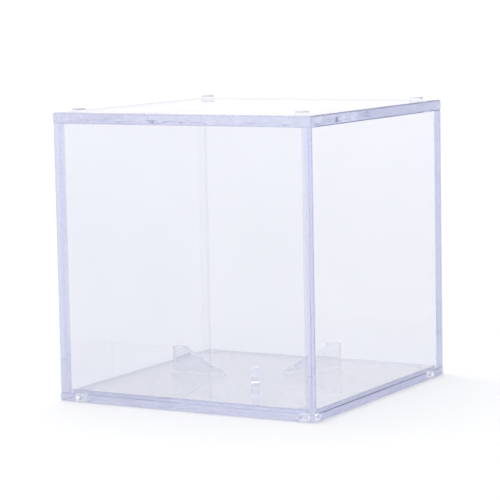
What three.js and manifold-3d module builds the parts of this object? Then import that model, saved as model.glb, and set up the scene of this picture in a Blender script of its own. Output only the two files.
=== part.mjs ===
// Clear display case for a ball.
//
// A lift-off cover of five bonded panels, with a stacking lug at each top corner, stands on a square
// base plate. A thin floor plate on the base locates the cover from inside, and three fins bonded to
// it are the cradle that keeps the ball in the middle.
//
// Millimetres. +Z is up, +X is to the right and the front wall faces -Y. The origin is the centre of
// the underside.

import * as THREE from 'three';
import { mergeVertices } from 'three/addons/utils/BufferGeometryUtils.js';
import Module from 'manifold-3d';

const wasm = await Module();
wasm.setup();

// Case
const CASE_SIDE = 82.5; // outside width and depth
const CASE_HEIGHT = 82.5; // underside to the top panel's upper face
const WALL_THICKNESS = 2.8;
const TOP_THICKNESS = 3.1;
const EDGE_BREAK = 0.3; // chamfer on exposed edges

// Base
const BASE_THICKNESS = 2.4; // the plate that the walls stand on
const FLOOR_THICKNESS = 0.7;
const COVER_CLEARANCE = 0.25; // floor plate to the inside of each wall

// Stacking lugs on the top and their sockets in the underside
const LUG_RADIUS = 2.0;
const LUG_HEIGHT = 1.0;
const LUG_CHAMFER = 0.2;
const LUG_INSET = 5.4; // lug centre to the case's outer faces
const SOCKET_RADIUS = 2.3;
const SOCKET_DEPTH = 1.3;

// Cradle
const FIN_ANGLES = [60, 180, 300].map(THREE.MathUtils.degToRad);
const FIN_INNER_RADIUS = 10.5;
const FIN_OUTER_RADIUS = 27.2;
const FIN_TIP_WIDTH = 3.7; // flat top at the outer end of a fin
const FIN_HEIGHT = 7.6; // above the floor
const FIN_FOOT_THICKNESS = 2.4;
const FIN_TIP_THICKNESS = 2.1;
const SEAT_RADIUS = 37.0; // the ball that the fins are curved to hold

// Facets
const ROUND_SEGMENTS = 48; // around a lug or a socket
const SEAT_SEGMENTS = 20; // along a fin's curved edge

// Heights and widths that follow from those
const INNER_SIDE = CASE_SIDE - 2 * WALL_THICKNESS;
const FLOOR_SIDE = INNER_SIDE - 2 * COVER_CLEARANCE;
const WALL_HEIGHT = CASE_HEIGHT - TOP_THICKNESS - BASE_THICKNESS;
const WALL_OFFSET = (CASE_SIDE - WALL_THICKNESS) / 2; // case centre to a wall's middle plane
const LUG_OFFSET = CASE_SIDE / 2 - LUG_INSET;

// Materials
const COVER_CLEAR = { color: 0xe6e9f5, roughness: 0.05, metalness: 0, transparent: true, opacity: 0.3 };
const BASE_CLEAR = { color: 0xdde1f0, roughness: 0.06, metalness: 0, transparent: true, opacity: 0.4 };
const CRADLE_CLEAR = { color: 0xd6dbee, roughness: 0.08, metalness: 0, transparent: true, opacity: 0.5 };

function mesh(name, geometry, finish) {
  const piece = new THREE.Mesh(geometry, new THREE.MeshStandardMaterial(finish));
  piece.name = name;
  return piece;
}

function solidFrom(geometry) {
  const bare = geometry.clone();
  bare.deleteAttribute('normal');
  bare.deleteAttribute('uv');
  const merged = mergeVertices(bare);
  const vertProperties = new Float32Array(merged.attributes.position.array);
  const triVerts = new Uint32Array(merged.index.array);
  return new wasm.Manifold(new wasm.Mesh({ numProp: 3, vertProperties, triVerts }));
}

function geometryFrom(solid) {
  const { vertProperties, triVerts } = solid.getMesh();
  const geometry = new THREE.BufferGeometry();
  geometry.setAttribute('position', new THREE.BufferAttribute(vertProperties, 3));
  geometry.setIndex(new THREE.BufferAttribute(triVerts, 1));
  geometry.computeVertexNormals();
  return geometry;
}

function squareOutline(side) {
  const half = side / 2;
  return new THREE.Shape()
    .moveTo(-half, -half)
    .lineTo(half, -half)
    .lineTo(half, half)
    .lineTo(-half, half)
    .closePath();
}

// A square plate standing on z = 0, with its edges chamfered above and below.
function squarePlate(side, thickness) {
  return new THREE.ExtrudeGeometry(squareOutline(side), {
    depth: thickness - 2 * EDGE_BREAK,
    bevelThickness: EDGE_BREAK,
    bevelSize: EDGE_BREAK,
    bevelOffset: -EDGE_BREAK,
    bevelSegments: 1,
  }).translate(0, 0, EDGE_BREAK);
}

// The four corner places that the lugs and the sockets share, counter-clockwise from the front left.
function cornerPlaces() {
  return [[-1, -1], [1, -1], [1, 1], [-1, 1]].map(([x, y]) => [x * LUG_OFFSET, y * LUG_OFFSET]);
}

// A side wall runs the full depth of the case. Its outer face is at +x, with both corners chamfered.
function sideWallGeometry() {
  const inner = -WALL_THICKNESS / 2;
  const outer = WALL_THICKNESS / 2;
  const half = CASE_SIDE / 2;
  const outline = new THREE.Shape()
    .moveTo(inner, -half)
    .lineTo(outer - EDGE_BREAK, -half)
    .lineTo(outer, -half + EDGE_BREAK)
    .lineTo(outer, half - EDGE_BREAK)
    .lineTo(outer - EDGE_BREAK, half)
    .lineTo(inner, half)
    .closePath();
  return new THREE.ExtrudeGeometry(outline, { depth: WALL_HEIGHT, bevelEnabled: false });
}

// The front and back walls fit between the side walls.
function endWallGeometry() {
  return new THREE.BoxGeometry(INNER_SIDE, WALL_THICKNESS, WALL_HEIGHT).translate(0, 0, WALL_HEIGHT / 2);
}

function lugGeometry() {
  const profile = [
    new THREE.Vector2(0, 0),
    new THREE.Vector2(LUG_RADIUS, 0),
    new THREE.Vector2(LUG_RADIUS, LUG_HEIGHT - LUG_CHAMFER),
    new THREE.Vector2(LUG_RADIUS - LUG_CHAMFER, LUG_HEIGHT),
    new THREE.Vector2(0, LUG_HEIGHT),
  ];
  return new THREE.LatheGeometry(profile, ROUND_SEGMENTS).rotateX(Math.PI / 2);
}

// The base plate, with a blind socket near each corner of its underside.
function basePlateGeometry() {
  let plate = solidFrom(squarePlate(CASE_SIDE, BASE_THICKNESS));
  for (const [x, y] of cornerPlaces()) {
    const cutter = new THREE.CylinderGeometry(SOCKET_RADIUS, SOCKET_RADIUS, 2 * SOCKET_DEPTH, ROUND_SEGMENTS);
    plate = plate.subtract(solidFrom(cutter.rotateX(Math.PI / 2).translate(x, y, 0)));
  }
  return geometryFrom(plate);
}

// The floor plate fits inside the cover.
function floorPlateGeometry() {
  return new THREE.BoxGeometry(FLOOR_SIDE, FLOOR_SIDE, FLOOR_THICKNESS).translate(0, 0, FLOOR_THICKNESS / 2);
}

// A fin seen from the side: x is the distance from the case's axis and y is the height. Its upper
// edge is an arc about the seated ball's centre, from the flat tip down to the inner end.
function finOutline() {
  const tipRadius = FIN_OUTER_RADIUS - FIN_TIP_WIDTH;
  const ballHeight = FIN_HEIGHT + Math.sqrt(SEAT_RADIUS ** 2 - tipRadius ** 2);
  const tipAngle = -Math.acos(tipRadius / SEAT_RADIUS);
  const innerAngle = -Math.acos(FIN_INNER_RADIUS / SEAT_RADIUS);
  return new THREE.Shape()
    .moveTo(FIN_INNER_RADIUS, 0)
    .lineTo(FIN_OUTER_RADIUS, 0)
    .lineTo(FIN_OUTER_RADIUS, FIN_HEIGHT)
    .lineTo(tipRadius, FIN_HEIGHT)
    .absarc(0, ballHeight, SEAT_RADIUS, tipAngle, innerAngle, true)
    .closePath();
}

// Thins a blade evenly along y from its foot, at z = 0, to its tip.
function taper(geometry) {
  const position = geometry.attributes.position;
  const thinning = (1 - FIN_TIP_THICKNESS / FIN_FOOT_THICKNESS) / FIN_HEIGHT;
  for (let i = 0; i < position.count; i += 1) {
    position.setY(i, position.getY(i) * (1 - thinning * position.getZ(i)));
  }
  geometry.computeVertexNormals();
  return geometry;
}

function finGeometry() {
  const blade = new THREE.ExtrudeGeometry(finOutline(), {
    depth: FIN_FOOT_THICKNESS,
    bevelEnabled: false,
    curveSegments: SEAT_SEGMENTS,
  });
  return taper(blade.rotateX(Math.PI / 2).translate(0, FIN_FOOT_THICKNESS / 2, 0));
}

function makeCover() {
  const rightWall = mesh('right_wall', sideWallGeometry(), COVER_CLEAR);
  const leftWall = mesh('left_wall', sideWallGeometry(), COVER_CLEAR);
  const frontWall = mesh('front_wall', endWallGeometry(), COVER_CLEAR);
  const backWall = mesh('back_wall', endWallGeometry(), COVER_CLEAR);
  const topPanel = mesh('top_panel', squarePlate(CASE_SIDE, TOP_THICKNESS), COVER_CLEAR);
  rightWall.position.x = WALL_OFFSET;
  leftWall.position.x = -WALL_OFFSET;
  leftWall.rotation.z = Math.PI;
  frontWall.position.y = -WALL_OFFSET;
  backWall.position.y = WALL_OFFSET;
  topPanel.position.z = WALL_HEIGHT;

  const cover = new THREE.Group();
  cover.position.z = BASE_THICKNESS;
  cover.add(rightWall, leftWall, frontWall, backWall, topPanel);
  cornerPlaces().forEach(([x, y], i) => {
    const lug = mesh(`stacking_lug_${i + 1}`, lugGeometry(), COVER_CLEAR);
    lug.position.set(x, y, WALL_HEIGHT + TOP_THICKNESS);
    cover.add(lug);
  });
  return cover;
}

function makeBase() {
  const floorPlate = mesh('floor_plate', floorPlateGeometry(), BASE_CLEAR);
  floorPlate.position.z = BASE_THICKNESS;

  const base = new THREE.Group();
  base.add(mesh('base_plate', basePlateGeometry(), BASE_CLEAR), floorPlate);
  FIN_ANGLES.forEach((angle, i) => {
    const fin = mesh(`cradle_fin_${i + 1}`, finGeometry(), CRADLE_CLEAR);
    fin.position.z = BASE_THICKNESS + FLOOR_THICKNESS;
    fin.rotation.z = angle;
    base.add(fin);
  });
  return base;
}

const group = new THREE.Group();
group.add(makeBase(), makeCover());

export default group;
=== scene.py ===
"""Looks of the clear ball display case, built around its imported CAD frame.

Every sheet, lug and fin is remade from its CAD solid with rounded edges and a clear plastic
material. Pieces that are bonded wet sink into each other by a hair, so that light passes through
the joint as it does through cement. The cover's rim and the fins' feet have a hair of air under
them instead, so that light stays out of those joints. Metres, +Z up, the front wall towards -Y.
"""

import math
from collections import namedtuple

import bmesh
import bpy
from mathutils import Matrix, Vector


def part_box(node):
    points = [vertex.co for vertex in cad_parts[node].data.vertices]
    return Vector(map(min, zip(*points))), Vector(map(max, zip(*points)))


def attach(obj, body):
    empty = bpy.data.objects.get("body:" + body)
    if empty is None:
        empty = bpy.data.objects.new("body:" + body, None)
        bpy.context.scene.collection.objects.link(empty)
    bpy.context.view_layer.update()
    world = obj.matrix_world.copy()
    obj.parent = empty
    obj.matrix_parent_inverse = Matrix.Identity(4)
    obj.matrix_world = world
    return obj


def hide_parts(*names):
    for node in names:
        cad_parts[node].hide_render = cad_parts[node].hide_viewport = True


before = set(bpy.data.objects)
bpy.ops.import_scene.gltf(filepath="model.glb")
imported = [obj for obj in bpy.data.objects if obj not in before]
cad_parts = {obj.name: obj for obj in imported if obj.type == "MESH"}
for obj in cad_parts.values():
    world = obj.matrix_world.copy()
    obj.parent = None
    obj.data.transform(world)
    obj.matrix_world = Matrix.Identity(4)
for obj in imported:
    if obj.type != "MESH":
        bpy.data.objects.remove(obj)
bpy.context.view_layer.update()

MM = 0.001

# Camera
CAMERA_AZIMUTH = math.radians(29.64)
CAMERA_ELEVATION = math.radians(6.79)
CAMERA_ROLL = math.radians(-1.09)
CAMERA_DISTANCE = 639.3 * MM
CAMERA_LENS = 157.8  # on the default 36 mm sensor
CAMERA_NEAREST = 10 * MM  # nothing closer than this is seen
AIM_RIGHT = -1.17 * MM  # aim point from the case's centre, in the picture plane
AIM_UP = -0.74 * MM

# Joints between pieces
BOND = 0.01 * MM  # how far a bonded piece sinks into its neighbour
REST = 0.02 * MM  # air left under the cover's rim and the fins' feet
TOUCH = 0.005 * MM  # points this close to a neighbour's box lie on the seam
UNCHANGED = (0, 0, 0)

# Remaking a CAD solid
WELD = 0.001 * MM  # corners closer than this become one
FLAT_ANGLE = math.radians(0.2)  # facets that meet at less than this become one face
SHARP_ANGLE = math.radians(30)  # edges sharper than this are rounded
SQUARE_ON = 0.9  # least cosine between a direction and a face that is square to it

# Edge radii
SHEET_EDGE = 0.10 * MM
FLOOR_EDGE = 0.15 * MM
TOP_EDGE = 0.16 * MM
BASE_EDGE = 0.20 * MM
SEAM_EDGE = 0.03 * MM
FIN_EDGE = 0.36 * MM
LUG_EDGE = 0.18 * MM
EDGE_SEGMENTS = 3

# Plastic
PLASTIC_IOR = 1.49
COVER_TINT = (0.908, 0.915, 0.948)
BASE_TINT = (0.98, 0.98, 0.985)
CRADLE_TINT = (0.94, 0.94, 0.96)
DEPTH_TINT = (0.59, 0.62, 0.86)
DEPTH_DENSITY = 8.6  # per metre

# Surface finish: the roughness that each kind of face starts from
CAST_ROUGHNESS = 0.0  # the two large faces of a sheet
CUT_ROUGHNESS = 0.06  # the walls' polished narrow faces
PLATE_EDGE_ROUGHNESS = 0.13  # the outer edges of the top panel and the base plate
MOULDED_ROUGHNESS = 0.075  # the narrow faces of the fins and lugs
RESTING_ROUGHNESS = 0.06  # the scuffed underside

# Surface detail: sizes are wavelengths
NOISE_LOW = 0.35  # most of a noise lies between this
NOISE_HIGH = 0.65  # and this
CLOUD_SIZE = 30 * MM
CLOUD_FADE = 0.99  # the tint's share left in the dullest cloud
SMUDGE_SIZE = 14 * MM
SMUDGE_START = 0.5  # where in the noise a smudge begins
SMUDGE_FULL = 0.75
SMUDGE_ROUGHNESS = 0.025
STREAK_SIZE = 2.5 * MM
STREAK_STRETCH = (1, 1, 0.15)  # finer across than up and down
STREAK_LEAST = 0.2  # share of a face's roughness
STREAK_MOST = 1.8
RIPPLE_SIZE = 9 * MM
RIPPLE_STRETCH = (0.6, 0.6, 2.0)  # longer along a plate's edge than across it
RIPPLE_DEPTH = 0.24 * MM  # on the roughest narrow faces
RIPPLE_LEAST = 0.03  # share of that depth left on polished faces

# Studio floor
FLOOR_SIZE = 20.0  # half its side
FLOOR_DROP = 0.05 * MM  # air under the case
# painted shade: the floor's tone is painted darker under the case, where its shadow falls
FLOOR_SHADED_NEAR = 0.94  # tone under the case
FLOOR_FAR = 0.99
FLOOR_SHADE_REACH = 1.2  # distance at which the far tone is reached
FLOOR_ROUGHNESS = 0.7

# Studio light
HORIZON_STRENGTH = 1.10
ZENITH_STRENGTH = 0.89
HORIZON_HEIGHT = 0.35  # sine of the elevation where the brighter band has faded
SUN_STRENGTH = 0.76
SUN_ANGLE = math.radians(60)
SUN_DIRECTION = Vector((-0.45, 0.25, 1.0))
CLEAR_BOUNCES = 160
DIFFUSE_BOUNCES = 12

X_AXIS = Vector((1, 0, 0))
Y_AXIS = Vector((0, 1, 0))
Z_AXIS = Vector((0, 0, 1))
SIDE_WALLS = ("left_wall", "right_wall")
END_WALLS = ("front_wall", "back_wall")
LUGS = [f"stacking_lug_{i}" for i in range(1, 5)]
FINS = [f"cradle_fin_{i}" for i in range(1, 4)]

# What a piece is made of: the body that it moves with, its slot and its material.
Stock = namedtuple("Stock", "body slot material")


def link(new_object):
    bpy.context.scene.collection.objects.link(new_object)
    return new_object


def mesh_object(name, bm):
    mesh = bpy.data.meshes.new(name)
    bm.normal_update()
    bm.to_mesh(mesh)
    bm.free()
    return link(bpy.data.objects.new(name, mesh))


def refitted_solid(node, low, high):
    """The CAD solid of a node in clean flat faces, stretched so that its box has these corners."""
    bm = bmesh.new()
    bm.from_mesh(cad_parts[node].data)
    bmesh.ops.remove_doubles(bm, verts=bm.verts, dist=WELD)
    bmesh.ops.dissolve_limit(bm, angle_limit=FLAT_ANGLE, verts=bm.verts, edges=bm.edges)
    old_low, old_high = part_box(node)
    for vert in bm.verts:
        for i in range(3):
            share = (vert.co[i] - old_low[i]) / (old_high[i] - old_low[i])
            vert.co[i] = low[i] + share * (high[i] - low[i])
    bm.normal_update()
    return bm


def on_seam(point, neighbours):
    """Whether a point lies on or inside the box of any neighbour."""
    for node in neighbours:
        low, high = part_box(node)
        if all(low[i] - BOND - TOUCH <= point[i] <= high[i] + BOND + TOUCH for i in range(3)):
            return True
    return False


def weigh_edges(bm, neighbours, radius):
    """Full bevel weight on exposed edges, and a small one where the piece meets a neighbour."""
    weight = bm.edges.layers.float.new("bevel_weight_edge")
    for edge in bm.edges:
        if len(edge.link_faces) != 2 or edge.calc_face_angle(0) < SHARP_ANGLE:
            continue
        middle = (edge.verts[0].co + edge.verts[1].co) / 2
        edge[weight] = SEAM_EDGE / radius if on_seam(middle, neighbours) else 1.0


def finish_faces(bm, thin, narrow_roughness, rests):
    """Gives each face the roughness of its kind: resting, large and cast, or narrow."""
    finish = bm.faces.layers.float.new("finish")
    for face in bm.faces:
        if rests and face.normal.z < -SQUARE_ON:
            face[finish] = RESTING_ROUGHNESS
        elif thin is not None and abs(face.normal.dot(thin)) > SQUARE_ON:
            face[finish] = CAST_ROUGHNESS
        else:
            face[finish] = narrow_roughness


def round_edges(piece, radius):
    bevel = piece.modifiers.new("rounded_edges", "BEVEL")
    bevel.width = radius
    bevel.segments = EDGE_SEGMENTS
    bevel.limit_method = "WEIGHT"
    piece.data.shade_smooth()
    flats = piece.modifiers.new("flat_faces", "WEIGHTED_NORMAL")
    flats.mode = "FACE_AREA"
    flats.weight = 100


def add_piece(node, suffix, stock, radius, neighbours=(), grow_low=UNCHANGED, grow_high=UNCHANGED,
              thin=None, narrow_roughness=CUT_ROUGHNESS, rests=False):
    """Remakes a node as a rounded piece of the given stock.

    Its box grows by grow_low and grow_high, and the edges where it meets its neighbours stay
    sharper. thin is the direction across its two large faces, and rests says that it has an
    underside that the case stands on.
    """
    low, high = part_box(node)
    bm = refitted_solid(node, low - Vector(grow_low), high + Vector(grow_high))
    weigh_edges(bm, neighbours, radius)
    finish_faces(bm, thin, narrow_roughness, rests)
    piece = mesh_object(f"{node}_{suffix}", bm)
    round_edges(piece, radius)
    piece.data.materials.append(stock.material)
    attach(piece, stock.body)
    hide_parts(node)


def noise(tree, size, stretch=(1, 1, 1)):
    place = tree.nodes.new("ShaderNodeTexCoord")
    scale = tree.nodes.new("ShaderNodeMapping")
    scale.inputs["Scale"].default_value = [share / size for share in stretch]
    cloud = tree.nodes.new("ShaderNodeTexNoise")
    cloud.inputs["Scale"].default_value = 1.0
    tree.links.new(place.outputs["Object"], scale.inputs["Vector"])
    tree.links.new(scale.outputs["Vector"], cloud.inputs["Vector"])
    return cloud.outputs["Fac"]


def remapped(tree, value, low, high, to_low, to_high, curve="LINEAR"):
    ramp = tree.nodes.new("ShaderNodeMapRange")
    ramp.interpolation_type = curve
    for name, number in (("From Min", low), ("From Max", high), ("To Min", to_low), ("To Max", to_high)):
        ramp.inputs[name].default_value = number
    tree.links.new(value, ramp.inputs["Value"])
    return ramp.outputs["Result"]


def face_finish(tree):
    finish = tree.nodes.new("ShaderNodeAttribute")
    finish.attribute_name = "finish"
    return finish.outputs["Fac"]


def surface_roughness(tree):
    """The finish of the face, streaked, with smudges on top."""
    streaks = remapped(tree, noise(tree, STREAK_SIZE, STREAK_STRETCH), NOISE_LOW, NOISE_HIGH,
                       STREAK_LEAST, STREAK_MOST)
    smudges = remapped(tree, noise(tree, SMUDGE_SIZE), SMUDGE_START, SMUDGE_FULL, 0, SMUDGE_ROUGHNESS)
    total = tree.nodes.new("ShaderNodeMath")
    total.operation = "MULTIPLY_ADD"
    tree.links.new(face_finish(tree), total.inputs[0])
    tree.links.new(streaks, total.inputs[1])
    tree.links.new(smudges, total.inputs[2])
    return total.outputs["Value"]


def ripple_normal(tree):
    """Gentle waves, deeper on the rougher narrow faces."""
    ripple = tree.nodes.new("ShaderNodeBump")
    ripple.inputs["Distance"].default_value = RIPPLE_DEPTH
    strength = remapped(tree, face_finish(tree), CUT_ROUGHNESS, PLATE_EDGE_ROUGHNESS, RIPPLE_LEAST, 1)
    tree.links.new(strength, ripple.inputs["Strength"])
    tree.links.new(noise(tree, RIPPLE_SIZE, RIPPLE_STRETCH), ripple.inputs["Height"])
    return ripple.outputs["Normal"]


def clouded_tint(tree, tint):
    fade = remapped(tree, noise(tree, CLOUD_SIZE), NOISE_LOW, NOISE_HIGH, CLOUD_FADE, 1)
    colour = tree.nodes.new("ShaderNodeVectorMath")
    colour.operation = "SCALE"
    colour.inputs[0].default_value = tint
    tree.links.new(fade, colour.inputs["Scale"])
    return colour.outputs["Vector"]


def clear_plastic(name, tint):
    """Clear plastic with a tint of its own and a violet-blue one that deepens with its thickness."""
    material = bpy.data.materials.new(name)
    material.use_nodes = True
    tree = material.node_tree
    surface = tree.nodes["Principled BSDF"]
    surface.inputs["IOR"].default_value = PLASTIC_IOR
    surface.inputs["Transmission Weight"].default_value = 1.0
    tree.links.new(clouded_tint(tree, tint), surface.inputs["Base Color"])
    tree.links.new(surface_roughness(tree), surface.inputs["Roughness"])
    tree.links.new(ripple_normal(tree), surface.inputs["Normal"])
    depth = tree.nodes.new("ShaderNodeVolumeAbsorption")
    depth.inputs["Color"].default_value = (*DEPTH_TINT, 1)
    depth.inputs["Density"].default_value = DEPTH_DENSITY
    tree.links.new(depth.outputs["Volume"], tree.nodes["Material Output"].inputs["Volume"])
    return material


def add_cover():
    stock = Stock("cover", "cover_clear", clear_plastic("cover_plastic", COVER_TINT))
    for node in SIDE_WALLS:
        add_piece(node, "sheet", stock, SHEET_EDGE, (*END_WALLS, "top_panel"),
                  grow_low=(0, 0, -REST), grow_high=(0, 0, BOND), thin=X_AXIS)
    for node in END_WALLS:
        add_piece(node, "sheet", stock, SHEET_EDGE, (*SIDE_WALLS, "top_panel"),
                  grow_low=(BOND, 0, -REST), grow_high=(BOND, 0, BOND), thin=Y_AXIS)
    add_piece("top_panel", "sheet", stock, TOP_EDGE, SIDE_WALLS + END_WALLS,
              thin=Z_AXIS, narrow_roughness=PLATE_EDGE_ROUGHNESS)
    for node in LUGS:
        add_piece(node, "button", stock, LUG_EDGE, ("top_panel",),
                  grow_low=(0, 0, BOND), narrow_roughness=MOULDED_ROUGHNESS)


def add_base():
    stock = Stock("base", "base_clear", clear_plastic("base_plastic", BASE_TINT))
    add_piece("base_plate", "plate", stock, BASE_EDGE,
              thin=Z_AXIS, narrow_roughness=PLATE_EDGE_ROUGHNESS, rests=True)
    add_piece("floor_plate", "plate", stock, FLOOR_EDGE, ("base_plate",),
              grow_low=(0, 0, BOND), thin=Z_AXIS)


def add_cradle():
    stock = Stock("base", "cradle_clear", clear_plastic("cradle_plastic", CRADLE_TINT))
    for node in FINS:
        low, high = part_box(node)
        outward = ((low + high) / 2).to_2d().normalized()
        add_piece(node, "blade", stock, FIN_EDGE, ("floor_plate",), grow_low=(0, 0, -REST),
                  thin=Vector((-outward.y, outward.x, 0)), narrow_roughness=MOULDED_ROUGHNESS)


def add_camera():
    base_low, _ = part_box("base_plate")
    _, top_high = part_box("top_panel")
    centre = Vector((0, 0, (base_low.z + top_high.z) / 2))
    azimuth, elevation, roll = CAMERA_AZIMUTH, CAMERA_ELEVATION, CAMERA_ROLL
    back = Vector((math.sin(azimuth) * math.cos(elevation), -math.cos(azimuth) * math.cos(elevation),
                   math.sin(elevation)))
    level = Vector((math.cos(azimuth), math.sin(azimuth), 0))
    upright = back.cross(level)
    right = math.cos(roll) * level + math.sin(roll) * upright
    up = math.cos(roll) * upright - math.sin(roll) * level
    data = bpy.data.cameras.new("camera")
    data.lens = CAMERA_LENS
    data.clip_start = CAMERA_NEAREST
    camera = link(bpy.data.objects.new("camera", data))
    place = centre + CAMERA_DISTANCE * back + AIM_RIGHT * right + AIM_UP * up
    camera.matrix_world = Matrix.Translation(place) @ Matrix((right, up, back)).transposed().to_4x4()
    bpy.context.scene.camera = camera


def floor_paint_with_painted_shade():
    """Matt near-white paint, with painted shade: greyer close to the case, where its shadow falls."""
    material = bpy.data.materials.new("floor")
    material.use_nodes = True
    tree = material.node_tree
    surface = tree.nodes["Principled BSDF"]
    place = tree.nodes.new("ShaderNodeTexCoord")
    distance = tree.nodes.new("ShaderNodeVectorMath")
    distance.operation = "LENGTH"
    tree.links.new(place.outputs["Object"], distance.inputs[0])
    # painted shade: the tone darkens towards the case and fades out over FLOOR_SHADE_REACH
    shaded_tone = remapped(tree, distance.outputs["Value"], 0, FLOOR_SHADE_REACH, FLOOR_SHADED_NEAR, FLOOR_FAR, "SMOOTHSTEP")
    tree.links.new(shaded_tone, surface.inputs["Base Color"])
    surface.inputs["Roughness"].default_value = FLOOR_ROUGHNESS
    surface.inputs["Specular IOR Level"].default_value = 0.0
    return material


def add_floor():
    bm = bmesh.new()
    bmesh.ops.create_grid(bm, x_segments=1, y_segments=1, size=FLOOR_SIZE)
    floor = mesh_object("floor", bm)
    floor.location.z = -FLOOR_DROP
    floor.data.materials.append(floor_paint_with_painted_shade())


def add_surround():
    """A white surround, a little brighter towards the horizon."""
    world = bpy.data.worlds.new("studio")
    world.use_nodes = True
    tree = world.node_tree
    direction = tree.nodes.new("ShaderNodeTexCoord")
    parts = tree.nodes.new("ShaderNodeSeparateXYZ")
    tree.links.new(direction.outputs["Generated"], parts.inputs["Vector"])
    strength = remapped(tree, parts.outputs["Z"], 0, HORIZON_HEIGHT, HORIZON_STRENGTH, ZENITH_STRENGTH)
    tree.nodes["Background"].inputs["Color"].default_value = (1, 1, 1, 1)
    tree.links.new(strength, tree.nodes["Background"].inputs["Strength"])
    bpy.context.scene.world = world


def add_sun():
    data = bpy.data.lights.new("soft_sun", "SUN")
    data.energy = SUN_STRENGTH
    data.angle = SUN_ANGLE
    sun = link(bpy.data.objects.new("soft_sun", data))
    sun.rotation_euler = SUN_DIRECTION.to_track_quat("Z", "Y").to_euler()


def tune_render():
    """Room for light to find its way out of the clear plastic, without softening it on the way."""
    scene = bpy.context.scene
    scene.view_settings.view_transform = "Standard"
    scene.cycles.use_denoising = True
    scene.cycles.blur_glossy = 0
    scene.cycles.max_bounces = CLEAR_BOUNCES
    scene.cycles.transmission_bounces = CLEAR_BOUNCES
    scene.cycles.glossy_bounces = CLEAR_BOUNCES
    scene.cycles.diffuse_bounces = DIFFUSE_BOUNCES


add_cover()
add_base()
add_cradle()
add_camera()
add_floor()
add_surround()
add_sun()
tune_render()
